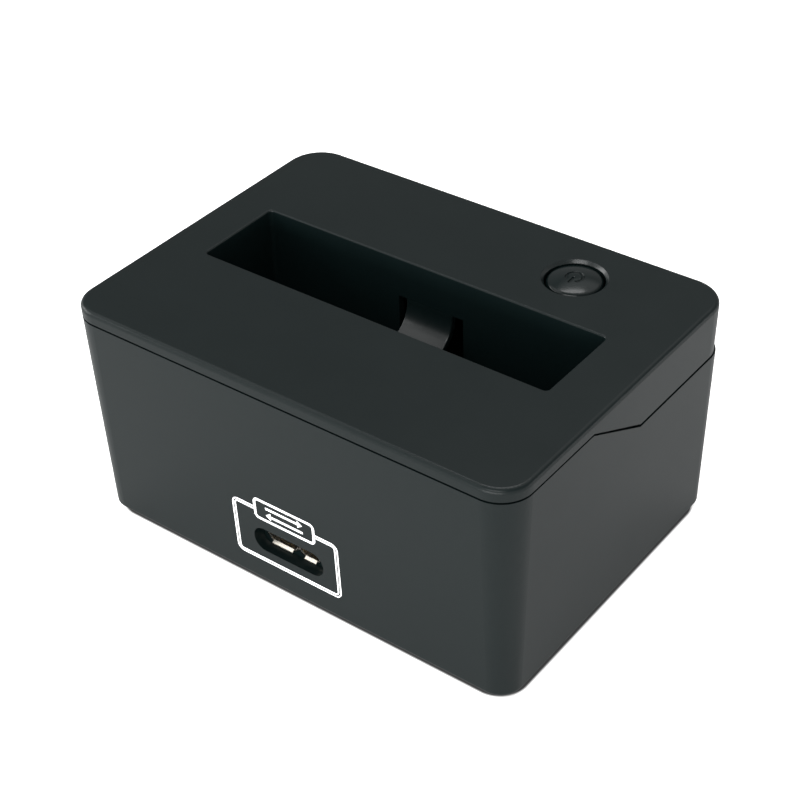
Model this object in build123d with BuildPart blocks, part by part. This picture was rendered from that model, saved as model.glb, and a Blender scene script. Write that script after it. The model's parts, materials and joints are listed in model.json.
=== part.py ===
from build123d import *
import os

# A desk dock for one bare 2.5 inch drive, in millimetres.
# The origin is on the table under the middle of the housing. +X runs along the long side,
# -Y is the rear face with the data port, +Z is up.

# The drive that the dock is made for
drive_width = 69.85
drive_side_clearance = 2.8
drive_back_clearance = 0.35

# Housing: the lands round the slot set its plan at the top, and the draft its plan below
foot_proud = 1.0
housing_height = 46.3
left_land, right_land = 9.6, 10.95
rear_land, front_land = 26.6, 24.9
draft = 1.4
low_corner, top_corner = 4.25, 6.15
front_corner_extra = 1.0
wall = 2.0
floor_thickness = 2.0
cover_thickness = 2.2
top_edge_radius = 0.9
low_edge_radius = 0.8

# Stepped seam between cover and base: how deep the cover's skirt reaches down from the top
skirt_rear_depth = 2.4
skirt_front_depth = 10.4
seam_slope_start = -11.2
seam_slope_end = 4.5
seam_gap = 0.4
lip_height = 0.9
lip_thickness = 0.9
lip_clearance = 0.1
lip_headroom = 0.2

# Black trim band in the deeper seam round the front, set back so that it reads as a dark line
trim_thickness = 0.6
trim_setback = 0.4

# Drive well
slot_width = 18.7
slot_corner = 0.9
slot_edge_radius = 0.35
well_wall = 1.6
well_floor = 1.6

# Spring finger in the far wall of the well
clip_offset = -0.25
clip_width = 10.4
clip_thickness = 1.4
clip_drop = 9.0
clip_bend_radius = 6.0
clip_slope = 52.0
clip_ramp_length = 5.8
clip_nose_radius = 3.0
clip_nose_turn = 60.0
clip_slit_left = 1.75
clip_slit_right = 2.45
clip_window_depth = 16.2
pivot_clearance = 0.05

# Power button, and the recess and tube that it slides in
button_from_end, button_from_front = 25.6, 12.2
bore_radius = 5.7
bore_length = 4.6
recess_depth, recess_bevel = 1.2, 0.45
collar_ledge = 0.75
collar_bore_length = 3.4
tube_wall = 1.5
cap_gap = 0.45
cap_sink = 0.6
cap_dome = 0.9
cap_edge_radius = 0.7
cap_wall = 1.3
collar_thickness = 1.2
collar_gap = 0.1
stop_gap = 0.05
stem_width = 4.4
stem_rib = 1.2
stem_pad = 1.2
stem_gap = 0.05

# Data port: the receptacle's mouth and its recess in the rear wall
port_x = -0.8
port_opening_width = 12.6
port_opening_height = 2.0
port_shoulder = 1.1
port_left_floor = 5.0
port_right_floor = 2.9
port_arch_height = 0.95
port_arch_top = 0.5
port_wall_thickness = 0.3
port_lip_reach, port_lip_drop, port_lip_inset = 0.5, 0.4, 0.15
port_length = 6.2
port_back = 1.6
port_tab_length, port_tab_width = 2.0, 0.9
port_recess_offset = 0.65
port_recess_length = 15.85
port_recess_height = 5.3
port_recess_corner = 2.5
port_recess_depth = 2.5
port_recess_rise = 0.8
port_recess_floor = 1.2
port_setback = 0.1
port_aperture_gap = 0.15
port_overhang = 1.4
tongue_thickness = 0.55
tongue_floor_gap = 0.95
tongue_setback = 0.7
tongue_left_width = 3.8
tongue_right_width = 3.0
strip_width, strip_thickness, strip_pitch = 0.3, 0.12, 0.6
strip_count = 5
strip_foot = 0.9

# Main board, its standoffs and its screws
board_side_gap, board_front_gap = 1.5, 4.95
board_thickness = 1.6
board_corner = 1.5
standoff_height = 4.9
standoff_diameter = 5.5
board_screw_inset = 4.25
board_screw_pilot = 1.9
board_screw_hole = 2.3
board_screw_bite = 3.9
board_screw_head, board_screw_head_height = 4.0, 1.2
pilot_room = 0.5
thread_clearance = 0.03

# Drive connector on the board: a key-shaped cavity each for the data and the supply
connector_length, connector_width, connector_height = 41.0, 5.6, 9.0
connector_reach = 4.5
connector_offset = 8.8
connector_datum = 3.5
connector_gap = 0.3
cavity_width, cavity_depth = 1.7, 6.0
key_reach = 1.3
data_length, data_centre, data_count = 10.2, -12.1, 7
supply_length, supply_centre, supply_count = 20.3, 6.2, 15
contact_pitch, contact_width, contact_thickness = 1.27, 0.7, 0.25
contact_sink = 0.8
contact_foot = 1.2
contact_relief = 0.3
connector_pad = 2.0

# Push switch under the button
switch_width, switch_height = 6.0, 3.5
switch_corner = 0.4
switch_leg_length, switch_leg_width, switch_leg_thickness = 1.0, 0.8, 0.3
plunger_radius, plunger_proud, plunger_inside = 1.7, 1.6, 1.8
plunger_clearance = 0.05
plunger_travel = 1.0

# Columns, case screws and feet
column_from_end, column_from_side = 8.1, 8.2
column_diameter, column_height = 8.0, 10.0
boss_diameter = 6.4
boss_gap = 0.1
case_screw_pilot = 2.5
case_screw_hole = 2.9
case_screw_head, case_screw_head_height = 5.2, 2.0
case_screw_seat = 3.5
case_screw_bite = 8.0
head_clearance = 0.3
foot_diameter = 10.0
foot_recess = 0.8
foot_clearance = 0.1
foot_edge_radius = 0.6

# Status lamp and its light guide in the front wall
lamp_x = 0.0
lamp_length, lamp_width, lamp_height = 3.0, 1.6, 2.2
guide_radius = 1.5
guide_collar_radius, guide_collar_length = 2.3, 1.0
guide_gap = 0.3
guide_clearance = 0.05

# Loose parts on the board: sizes, and places from the board's centre
bridge_width, bridge_height, bridge_place = 7.0, 0.9, (2.0, -14.5)
flash_length, flash_width, flash_height, flash_place = 5.0, 4.0, 1.6, (15.0, -20.0)
flash_leg_length, flash_leg_width, flash_leg_pitch, flash_leg_count = 1.0, 0.4, 1.27, 4
leg_thickness = 0.25
regulator_length, regulator_width, regulator_height = 6.5, 3.5, 1.7
regulator_from_end, regulator_y, regulator_tab = 11.0, -14.0, 3.0
inductor_width, inductor_height = 6.0, 3.0
inductor_from_end, inductor_y = 9.0, 18.5
inductor_corner = 1.6
crystal_length, crystal_width, crystal_height, crystal_place = 3.2, 2.5, 0.8, (10.5, -14.0)
can_radius, can_height, can_base_height, can_bevel = 2.5, 5.4, 0.9, 0.4
can_places = ((-13.0, 19.5), (-4.0, 19.5))
chip_length, chip_width, chip_height = 1.6, 0.8, 0.8
chip_places = (
    (-5.0, -12.0), (-5.0, -15.0), (-5.0, -18.0), (8.0, -18.5),
    (8.0, -10.5), (-16.0, -14.0), (-16.0, -18.0), (12.0, 20.0),
)
part_chamfer = 0.2


# Plan of the housing at its top and at its underside
slot_length = drive_width + 2 * drive_side_clearance
top_length = left_land + slot_length + right_land
top_width = rear_land + slot_width + front_land
low_length = top_length - 2 * draft
low_width = top_width - 2 * draft


def plan_size(height, inset=0.0):
    """Length, width and corner radius of the housing at a height, drawn in by inset."""
    share = (height - foot_proud) / housing_height
    length = low_length + (top_length - low_length) * share - 2 * inset
    width = low_width + (top_width - low_width) * share - 2 * inset
    corner = low_corner + (top_corner - low_corner) * share - inset
    return length, width, corner


def corners(x, y):
    """The four places at plus and minus x and y."""
    return [(-x, -y), (x, -y), (-x, y), (x, y)]


def on_board(places):
    """Places given from the board's centre, in the frame of the dock."""
    return [(x, board_y + y) for x, y in places]


# Heights above the table, from the table up
floor_top = foot_proud + floor_thickness
top_height = foot_proud + housing_height
board_bottom = floor_top + standoff_height
board_top = board_bottom + board_thickness
port_height = board_top + port_wall_thickness + port_opening_height / 2
recess_x = port_x + port_recess_offset
recess_height = port_height + port_recess_rise
well_floor_height = board_top + connector_height - connector_reach
column_top = foot_proud + column_height
screw_seat = foot_proud + case_screw_seat
lamp_middle = board_top + lamp_height / 2
span = 2 * top_length

# The seam on the cover's side and on the base's side
cover_rear = top_height - skirt_rear_depth
cover_front = top_height - skirt_front_depth
base_rear = cover_rear - seam_gap
base_front = cover_front - trim_thickness
skirt_wall = wall - lip_thickness - lip_clearance

# The slot, and the line in its far wall that the finger swings about
slot_x = (left_land - right_land) / 2
slot_y = (rear_land - front_land) / 2
slot_near = slot_y - slot_width / 2
slot_far = slot_y + slot_width / 2
clip_x = slot_x + clip_offset
pivot_y = slot_far + clip_thickness / 2
pivot_z = top_height - clip_drop
window_top = pivot_z + clip_thickness / 2 + pivot_clearance
window_bottom = pivot_z - clip_window_depth

# The columns stand in from the underside's corners
column_x = low_length / 2 - column_from_end
column_y = low_width / 2 - column_from_side

# The rear wall's recess sets the port, and the board lies between the port and the columns
rear_face = -plan_size(recess_height)[1] / 2
recess_back = rear_face + port_recess_depth
port_face = recess_back + port_setback
guide_seat = plan_size(lamp_middle - guide_collar_radius, wall)[1] / 2
guide_end = plan_size(lamp_middle)[1] / 2
board_length = 2 * (column_x - column_diameter / 2 - board_side_gap)
board_rear = port_face + port_overhang
board_front = guide_seat - board_front_gap
board_width = board_front - board_rear
board_y = (board_rear + board_front) / 2
inductor_place = (inductor_from_end - board_length / 2, inductor_y)
regulator_place = (regulator_from_end - board_length / 2, regulator_y)
board_screws_at = on_board(
    corners(board_length / 2 - board_screw_inset, board_width / 2 - board_screw_inset)
)

# The connector stands where the drive's own plug comes down
connector_x = slot_x + connector_offset
connector_y = slot_near + drive_back_clearance + connector_datum
connector_top = board_top + connector_height
contact_wall = connector_y - cavity_width / 2

# The button's place, its radii and its heights, down to the switch
button_x = top_length / 2 - button_from_end
button_y = top_width / 2 - button_from_front
recess_radius = bore_radius + recess_bevel
collar_bore_radius = bore_radius + collar_ledge
bore_top = top_height - recess_depth
bore_bottom = bore_top - bore_length
tube_bottom = bore_bottom - collar_bore_length
cap_rim = top_height - cap_sink
cap_radius = bore_radius - cap_gap
cap_ceiling = cap_rim - cap_wall
collar_top = bore_bottom - stop_gap
collar_bottom = collar_top - collar_thickness
collar_radius = collar_bore_radius - collar_gap
switch_top = board_top + switch_height
stem_bottom = switch_top + plunger_proud + stem_gap

button_plane = Plane(origin=(button_x, button_y, 0), x_dir=(1, 0, 0), z_dir=(0, -1, 0))
button_axis = Axis((button_x, button_y, 0), (0, 0, 1))
port_plane = Plane(origin=(port_x, port_face, port_height), x_dir=(1, 0, 0), z_dir=(0, -1, 0))

# Floors of the port's mouth, left and right of its arch
port_floor_left = -port_opening_width / 2 + port_shoulder
port_floor_right = port_opening_width / 2 - port_shoulder
port_arch_left = port_floor_left + port_left_floor
port_arch_right = port_floor_right - port_right_floor
tongue_left_x = (port_floor_left + port_arch_left) / 2
tongue_right_x = (port_floor_right + port_arch_right) / 2
tongue_low = -port_opening_height / 2 + tongue_floor_gap


def housing_plan(height, inset=0.0, front_extra=0.0):
    """The housing's plan at a height, drawn in by inset, its front corners rounder by front_extra."""
    length, width, corner = plan_size(height, inset)
    with BuildSketch(Plane.XY.offset(height)) as plan:
        Rectangle(length, width)
        fillet(plan.vertices().group_by(Axis.Y)[0], corner)
        fillet(plan.vertices().group_by(Axis.Y)[-1], corner + front_extra)
    return plan.sketch


def housing_block(bottom, top, inset=0.0, front_extra=0.0):
    """The drafted form of the housing between two heights."""
    with BuildPart() as block:
        loft(
            [
                housing_plan(bottom, inset, front_extra),
                housing_plan(top, inset, front_extra),
            ],
            ruled=True,
        )
    return block.part


def above_seam(rear, front):
    """All the space above a stepped line that runs at height rear, slopes, then at front."""
    with BuildPart() as region:
        with BuildSketch(Plane.YZ):
            with BuildLine():
                Polyline(
                    (-span, rear),
                    (seam_slope_start, rear),
                    (seam_slope_end, front),
                    (span, front),
                    (span, span),
                    (-span, span),
                    close=True,
                )
            make_face()
        extrude(amount=span, both=True)
    return region.part


def ring_below_seam(outer, inner, rear, front):
    """A drafted wall between two insets, from the floor up to a stepped line."""
    with BuildPart() as ring:
        add(housing_block(floor_top, top_height, outer))
        add(housing_block(floor_top - wall, top_height + wall, inner), mode=Mode.SUBTRACT)
        add(above_seam(rear, front), mode=Mode.SUBTRACT)
    return ring.part


def port_shape(grow=0.0, depth=0.0):
    """The port's mouth at a depth, grown all round: shouldered ends, two floors, an arch."""
    half_width = port_opening_width / 2
    half_height = port_opening_height / 2
    arch_middle = (port_arch_left + port_arch_right) / 2
    arch_height = port_arch_height - half_height
    with BuildSketch(port_plane.offset(-depth)) as shape:
        with BuildLine():
            Polyline(
                (-half_width, half_height),
                (-half_width, half_height - port_shoulder / 2),
                (port_floor_left, -half_height),
                (port_arch_left, -half_height),
                (arch_middle - port_arch_top / 2, arch_height),
                (arch_middle + port_arch_top / 2, arch_height),
                (port_arch_right, -half_height),
                (port_floor_right, -half_height),
                (half_width, half_height - port_shoulder / 2),
                (half_width, half_height),
                close=True,
            )
        make_face()
        if grow > 0:
            offset(amount=grow, kind=Kind.INTERSECTION)
    return shape.sketch


def contact_row(centre, count):
    """Places along X of a row of contacts about a centre."""
    first = connector_x + centre - contact_pitch * (count - 1) / 2
    return [first + contact_pitch * number for number in range(count)]


contacts_at = contact_row(data_centre, data_count) + contact_row(supply_centre, supply_count)

# Base shell: a drafted tray with a stepped rim
with BuildPart() as base_shell:
    add(housing_block(foot_proud, top_height))
    fillet(base_shell.edges().group_by(Axis.Z)[0], low_edge_radius)
    add(above_seam(base_rear, base_front), mode=Mode.SUBTRACT)
    # The lip stands inside the rim and centres the cover
    add(
        ring_below_seam(
            wall - lip_thickness, wall, cover_rear + lip_height, cover_front + lip_height
        )
    )
    add(housing_block(floor_top, top_height + wall, wall), mode=Mode.SUBTRACT)
    # Columns for the case screws and standoffs for the board
    with BuildSketch(Plane.XY.offset(foot_proud + floor_thickness / 2)):
        with Locations(*corners(column_x, column_y)):
            Circle(column_diameter / 2)
    extrude(amount=column_height - floor_thickness / 2)
    with BuildSketch(Plane.XY.offset(foot_proud + floor_thickness / 2)):
        with Locations(*board_screws_at):
            Circle(standoff_diameter / 2)
    extrude(amount=standoff_height + floor_thickness / 2)
    with Locations(*[(x, y, board_bottom) for x, y in board_screws_at]):
        Hole(board_screw_pilot / 2, board_screw_bite + pilot_room)
    # Screw holes from below, their seats, and the recesses that the feet cover them with
    with Locations(
        *[Location((x, y, foot_proud), (180, 0, 0)) for x, y in corners(column_x, column_y)]
    ):
        CounterBoreHole(
            case_screw_hole / 2,
            case_screw_head / 2 + head_clearance,
            case_screw_seat,
            column_height + wall,
        )
    with BuildSketch(Plane.XY.offset(foot_proud)):
        with Locations(*corners(column_x, column_y)):
            Circle(foot_diameter / 2 + foot_clearance)
    extrude(amount=foot_recess, mode=Mode.SUBTRACT)
    # The port's recess, with a pad behind it where it is deeper than the wall
    with BuildSketch(Plane.XZ.offset(-recess_back - port_recess_floor)):
        with Locations((recess_x, recess_height)):
            RectangleRounded(
                port_recess_length + 2 * port_recess_floor,
                port_recess_height + 2 * port_recess_floor,
                port_recess_corner + port_recess_floor,
            )
    extrude(amount=port_recess_floor + port_recess_depth - wall / 2)
    with BuildSketch(Plane.XZ.offset(-recess_back)):
        with Locations((recess_x, recess_height)):
            RectangleRounded(port_recess_length, port_recess_height, port_recess_corner)
    extrude(amount=port_recess_depth + wall, mode=Mode.SUBTRACT)
    extrude(
        port_shape(port_wall_thickness + port_aperture_gap),
        amount=port_recess_floor + port_setback,
        both=True,
        mode=Mode.SUBTRACT,
    )
    # The light guide's hole in the front wall
    with BuildSketch(Plane.XZ.offset(-guide_seat)):
        with Locations((lamp_x, lamp_middle)):
            Circle(guide_radius + guide_clearance)
    extrude(amount=2 * wall, both=True, mode=Mode.SUBTRACT)

# Top cover: top plate, stepped skirt, drive well, button tube and screw bosses in one
with BuildPart() as top_cover:
    add(housing_block(foot_proud, top_height, front_extra=front_corner_extra))
    fillet(top_cover.edges().group_by(Axis.Z)[-1], top_edge_radius)
    add(above_seam(cover_rear, cover_front), mode=Mode.INTERSECT)
    add(housing_block(foot_proud, top_height - cover_thickness, wall), mode=Mode.SUBTRACT)
    # A groove for the base's lip
    add(
        ring_below_seam(
            skirt_wall,
            wall + lip_clearance,
            cover_rear + lip_height + lip_headroom,
            cover_front + lip_height + lip_headroom,
        ),
        mode=Mode.SUBTRACT,
    )
    # The well's walls and floor, then the slot down into it
    with BuildSketch(Plane.XY.offset(well_floor_height - well_floor)):
        with Locations((slot_x, slot_y)):
            RectangleRounded(
                slot_length + 2 * well_wall, slot_width + 2 * well_wall, slot_corner + well_wall
            )
    extrude(amount=top_height - top_edge_radius - well_floor_height + well_floor)
    with BuildSketch(Plane.XY.offset(well_floor_height)):
        with Locations((slot_x, slot_y)):
            RectangleRounded(slot_length, slot_width, slot_corner)
    extrude(amount=top_height, mode=Mode.SUBTRACT)
    slot_rim = top_cover.faces().sort_by(Axis.Z)[-1].inner_wires().edges()
    fillet(slot_rim, slot_edge_radius)
    # The finger's window through the far wall, and the connector's way through the floor
    with BuildSketch(Plane.XZ.offset(-slot_far - well_wall / 2)):
        with Locations(
            (
                clip_x + (clip_slit_right - clip_slit_left) / 2,
                (window_top + window_bottom) / 2,
            )
        ):
            Rectangle(
                clip_width + clip_slit_left + clip_slit_right, window_top - window_bottom
            )
    extrude(amount=well_wall, both=True, mode=Mode.SUBTRACT)
    with BuildSketch(Plane.XY.offset(well_floor_height - well_floor)):
        with Locations((connector_x, connector_y)):
            Rectangle(connector_length + 2 * connector_gap, connector_width + 2 * connector_gap)
    extrude(amount=well_floor, both=True, mode=Mode.SUBTRACT)
    # The tube that the button slides in
    with BuildSketch(Plane.XY.offset(tube_bottom)):
        with Locations((button_x, button_y)):
            Circle(collar_bore_radius + tube_wall)
    extrude(amount=top_height - top_edge_radius - tube_bottom)
    with BuildSketch(button_plane):
        with BuildLine():
            Polyline(
                (0, tube_bottom - wall),
                (collar_bore_radius, tube_bottom - wall),
                (collar_bore_radius, bore_bottom),
                (bore_radius, bore_bottom),
                (bore_radius, bore_top),
                (recess_radius, top_height),
                (recess_radius, top_height + wall),
                (0, top_height + wall),
                close=True,
            )
        make_face()
    revolve(axis=button_axis, mode=Mode.SUBTRACT)
    # Bosses for the case screws
    with BuildSketch(Plane.XY.offset(column_top + boss_gap)):
        with Locations(*corners(column_x, column_y)):
            Circle(boss_diameter / 2)
    extrude(amount=top_height - top_edge_radius - column_top - boss_gap)
    with BuildSketch(Plane.XY.offset(column_top + boss_gap)):
        with Locations(*corners(column_x, column_y)):
            Circle(case_screw_pilot / 2)
    extrude(amount=case_screw_bite + pilot_room, mode=Mode.SUBTRACT)

# Trim band: fills the back of the deeper seam, on the base's rim
with BuildPart() as trim_band:
    with BuildSketch(Plane.XY.offset(base_front)):
        RectangleRounded(*plan_size(base_front, trim_setback))
        RectangleRounded(*plan_size(base_front, skirt_wall), mode=Mode.SUBTRACT)
        with Locations((0, seam_slope_end - span / 2)):
            Rectangle(span, span, mode=Mode.SUBTRACT)
    extrude(amount=trim_thickness)

# Spring finger: hangs flush in the far wall, bows into the slot and turns back at its nose
with BuildPart() as drive_clip:
    with BuildSketch(Plane.YZ.offset(clip_x)):
        with BuildLine():
            bend = JernArc((pivot_y, pivot_z), (0, -1), clip_bend_radius, -clip_slope)
            ramp = PolarLine(bend @ 1, clip_ramp_length, direction=bend % 1)
            nose = JernArc(ramp @ 1, ramp % 1, clip_nose_radius, clip_slope + clip_nose_turn)
        trace(line_width=clip_thickness)
        with Locations((pivot_y, pivot_z), nose @ 1):
            Circle(clip_thickness / 2)
    extrude(amount=clip_width / 2, both=True)

# Power button: a shallow domed cap with a skirt, a collar that stops it, and a long stem
with BuildPart() as power_button:
    with BuildSketch(button_plane):
        with BuildLine():
            dome = TangentArc((0, cap_rim + cap_dome), (cap_radius, cap_rim), tangent=(1, 0))
            Polyline(
                dome @ 1,
                (cap_radius, collar_top),
                (collar_radius, collar_top),
                (collar_radius, collar_bottom),
                (cap_radius - cap_wall, collar_bottom),
                (cap_radius - cap_wall, cap_ceiling),
                (0, cap_ceiling),
                dome @ 0,
            )
        make_face()
    revolve(axis=button_axis)
    cap_edge = power_button.edges().filter_by(lambda edge: edge.is_closed).sort_by(Axis.Z)[-1]
    fillet(cap_edge, cap_edge_radius)
    with BuildSketch(Plane.XY.offset(stem_bottom)):
        with Locations((button_x, button_y)):
            Rectangle(stem_width, stem_rib)
            Rectangle(stem_rib, stem_width)
    extrude(amount=cap_ceiling + cap_wall / 2 - stem_bottom)
    with BuildSketch(Plane.XY.offset(stem_bottom)):
        with Locations((button_x, button_y)):
            Circle(stem_width / 2)
    extrude(amount=stem_pad)

# Push switch: a square body on four legs, bored for its plunger
with BuildPart() as switch_body:
    with BuildSketch(Plane.XY.offset(board_top)):
        with Locations((button_x, button_y)):
            RectangleRounded(switch_width, switch_width, switch_corner)
    extrude(amount=switch_height)
    with BuildSketch(Plane.XY.offset(board_top)):
        with Locations((button_x, button_y)):
            with GridLocations(switch_width, switch_width - 2 * switch_leg_width, 2, 2):
                Rectangle(2 * switch_leg_length, switch_leg_width)
    extrude(amount=switch_leg_thickness)
    with Locations((button_x, button_y, switch_top)):
        Hole(plunger_radius + plunger_clearance, plunger_inside + plunger_travel + stop_gap)

with BuildPart() as switch_plunger:
    with BuildSketch(Plane.XY.offset(switch_top - plunger_inside)):
        with Locations((button_x, button_y)):
            Circle(plunger_radius)
    extrude(amount=plunger_inside + plunger_proud)
    chamfer(switch_plunger.edges().group_by(Axis.Z)[-1], part_chamfer)

# Main board
with BuildPart() as main_board:
    with BuildSketch(Plane.XY.offset(board_bottom)):
        with Locations((0, board_y)):
            RectangleRounded(board_length, board_width, board_corner)
        with Locations(*board_screws_at):
            Circle(board_screw_hole / 2, mode=Mode.SUBTRACT)
    extrude(amount=board_thickness)

# Drive connector: two cavities with a key at their outer ends, and a groove for each blade
with BuildPart() as drive_connector_body:
    with BuildSketch(Plane.XY.offset(board_top)):
        with Locations((connector_x, connector_y)):
            Rectangle(connector_length, connector_width)
    extrude(amount=connector_height)
    chamfer(drive_connector_body.edges().group_by(Axis.Z)[-1], part_chamfer)
    with BuildSketch(Plane.XY.offset(connector_top - cavity_depth)):
        for length, centre, side in (
            (data_length, data_centre, -1),
            (supply_length, supply_centre, 1),
        ):
            key_x = connector_x + centre + side * (length - cavity_width) / 2
            with Locations((connector_x + centre, connector_y)):
                Rectangle(length, cavity_width)
            with Locations((key_x, connector_y + key_reach / 2)):
                Rectangle(cavity_width, cavity_width + key_reach)
    extrude(amount=connector_height, mode=Mode.SUBTRACT)
    with BuildSketch(Plane.XY.offset(board_top)):
        with Locations(*[(x, contact_wall - contact_thickness / 2) for x in contacts_at]):
            Rectangle(contact_width, contact_thickness)
    extrude(amount=connector_height, mode=Mode.SUBTRACT)
    with BuildSketch(Plane.XY.offset(board_top)):
        with Locations((connector_x, contact_wall - connector_width / 2)):
            Rectangle(connector_length - 2 * connector_pad, connector_width)
    extrude(amount=contact_relief, mode=Mode.SUBTRACT)

with BuildPart() as drive_connector_contacts:
    contact_end = connector_y - connector_width / 2 - contact_foot
    for x in contacts_at:
        with BuildSketch(Plane.YZ.offset(x)):
            with BuildLine():
                Polyline(
                    (contact_end, board_top),
                    (contact_wall, board_top),
                    (contact_wall, connector_top - contact_sink),
                    (contact_wall - contact_thickness, connector_top - contact_sink),
                    (contact_wall - contact_thickness, board_top + contact_thickness),
                    (contact_end, board_top + contact_thickness),
                    close=True,
                )
            make_face()
        extrude(amount=contact_width / 2, both=True)

# Data port: a metal shell on side tabs, an insulator with two tongues, and its contacts
with BuildPart() as port_shell:
    extrude(port_shape(port_wall_thickness), amount=-port_length)
    with BuildSketch(Plane.XY.offset(board_top)):
        with Locations((port_x, port_face + port_length - port_tab_length)):
            with GridLocations(port_opening_width + port_wall_thickness, 0, 2, 1):
                Rectangle(port_wall_thickness, port_tab_length)
    extrude(amount=port_wall_thickness + port_opening_height)
    with BuildSketch(Plane.XY.offset(board_top)):
        with Locations((port_x, port_face + port_length - port_tab_length)):
            with GridLocations(port_opening_width + port_tab_width, 0, 2, 1):
                Rectangle(port_tab_width, port_tab_length)
    extrude(amount=port_wall_thickness)
    extrude(port_shape(), amount=-port_length, mode=Mode.SUBTRACT)
    # Lips at the mouth's two floors, flared outwards to lead the plug in
    floor_height = port_height - port_opening_height / 2
    lip_end = port_face - port_lip_reach
    lip_low = floor_height - port_lip_drop
    for floor_left, floor_right in (
        (port_floor_left, port_arch_left),
        (port_arch_right, port_floor_right),
    ):
        with BuildSketch(Plane.YZ.offset(port_x + (floor_left + floor_right) / 2)):
            with BuildLine():
                Polyline(
                    (port_face, floor_height),
                    (lip_end, lip_low),
                    (lip_end, lip_low - port_wall_thickness),
                    (port_face, floor_height - port_wall_thickness),
                    close=True,
                )
            make_face()
        extrude(amount=(floor_right - floor_left) / 2 - port_lip_inset, both=True)

with BuildPart() as port_contacts:
    strip_top = port_height + tongue_low
    strip_start = port_face + tongue_setback + strip_width
    strip_back = port_face + port_length + strip_width
    for tongue_x in (tongue_left_x, tongue_right_x):
        for number in range(strip_count):
            strip_x = port_x + tongue_x + strip_pitch * (number - (strip_count - 1) / 2)
            with BuildSketch(Plane.YZ.offset(strip_x)):
                with BuildLine():
                    Polyline(
                        (strip_start, strip_top),
                        (strip_back + strip_thickness, strip_top),
                        (strip_back + strip_thickness, board_top + strip_thickness),
                        (strip_back + strip_foot, board_top + strip_thickness),
                        (strip_back + strip_foot, board_top),
                        (strip_back, board_top),
                        (strip_back, strip_top - strip_thickness),
                        (strip_start, strip_top - strip_thickness),
                        close=True,
                    )
                make_face()
            extrude(amount=strip_width / 2, both=True)

with BuildPart() as port_insulator:
    extrude(port_shape(depth=port_length - port_back), amount=-port_back)
    with BuildSketch(port_plane.offset(-tongue_setback)):
        with Locations((tongue_left_x, tongue_low + tongue_thickness / 2)):
            Rectangle(tongue_left_width, tongue_thickness)
        with Locations((tongue_right_x, tongue_low + tongue_thickness / 2)):
            Rectangle(tongue_right_width, tongue_thickness)
    extrude(amount=tongue_setback + port_back / 2 - port_length)
    add(port_contacts.part, mode=Mode.SUBTRACT)

# Chips and small parts on the board
with BuildPart() as bridge_chip:
    with BuildSketch(Plane.XY.offset(board_top)):
        with Locations(*on_board([bridge_place])):
            Rectangle(bridge_width, bridge_width)
    extrude(amount=bridge_height)
    chamfer(bridge_chip.edges().group_by(Axis.Z)[-1], part_chamfer)

with BuildPart() as flash_chip:
    with BuildSketch(Plane.XY.offset(board_top)):
        with Locations(*on_board([flash_place])):
            Rectangle(flash_length, flash_width)
    extrude(amount=flash_height)
    chamfer(flash_chip.edges().group_by(Axis.Z)[-1], part_chamfer)
    with BuildSketch(Plane.XY.offset(board_top)):
        with Locations(*on_board([flash_place])):
            with GridLocations(flash_leg_pitch, flash_width, flash_leg_count, 2):
                Rectangle(flash_leg_width, 2 * flash_leg_length)
    extrude(amount=leg_thickness)

with BuildPart() as regulator_chip:
    with BuildSketch(Plane.XY.offset(board_top)):
        with Locations(*on_board([regulator_place])):
            Rectangle(regulator_length, regulator_width)
    extrude(amount=regulator_height)
    chamfer(regulator_chip.edges().group_by(Axis.Z)[-1], part_chamfer)
    with BuildSketch(Plane.XY.offset(board_top)):
        with Locations(*on_board([regulator_place])):
            with Locations((0, regulator_width / 2)):
                Rectangle(regulator_tab, regulator_width)
            with Locations((0, -regulator_width / 2)):
                with GridLocations(regulator_tab - leg_thickness, 0, 3, 1):
                    Rectangle(switch_leg_width, regulator_width)
    extrude(amount=leg_thickness)

with BuildPart() as power_inductor:
    with BuildSketch(Plane.XY.offset(board_top)):
        with Locations(*on_board([inductor_place])):
            RectangleRounded(inductor_width, inductor_width, inductor_corner)
    extrude(amount=inductor_height)
    chamfer(power_inductor.edges().group_by(Axis.Z)[-1], part_chamfer)

with BuildPart() as crystal_can:
    with BuildSketch(Plane.XY.offset(board_top)):
        with Locations(*on_board([crystal_place])):
            RectangleRounded(crystal_length, crystal_width, part_chamfer)
    extrude(amount=crystal_height)

with BuildPart() as ceramic_capacitors:
    with BuildSketch(Plane.XY.offset(board_top)):
        with Locations(*on_board(chip_places)):
            Rectangle(chip_length, chip_width)
    extrude(amount=chip_height)

with BuildPart() as can_capacitors:
    with BuildSketch(Plane.XY.offset(board_top)):
        with Locations(*on_board(can_places)):
            Circle(can_radius)
    extrude(amount=can_height)
    chamfer(can_capacitors.edges().group_by(Axis.Z)[-1], can_bevel)
    with BuildSketch(Plane.XY.offset(board_top)):
        with Locations(*on_board(can_places)):
            Rectangle(2 * can_radius, 2 * can_radius)
    extrude(amount=can_base_height)

# Status lamp and the clear rod that carries its light to the front wall
with BuildPart() as status_lamp:
    with BuildSketch(Plane.XY.offset(board_top)):
        with Locations((lamp_x, board_front - lamp_width / 2)):
            Rectangle(lamp_length, lamp_width)
    extrude(amount=lamp_height)
    chamfer(status_lamp.edges().group_by(Axis.Z)[-1], part_chamfer)

with BuildPart() as light_guide:
    with BuildSketch(Plane.XZ.offset(-board_front - guide_gap)):
        with Locations((lamp_x, lamp_middle)):
            Circle(guide_radius)
    extrude(amount=board_front + guide_gap - guide_end)
    with BuildSketch(Plane.XZ.offset(-guide_seat)):
        with Locations((lamp_x, lamp_middle)):
            Circle(guide_collar_radius)
    extrude(amount=guide_collar_length)

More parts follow.
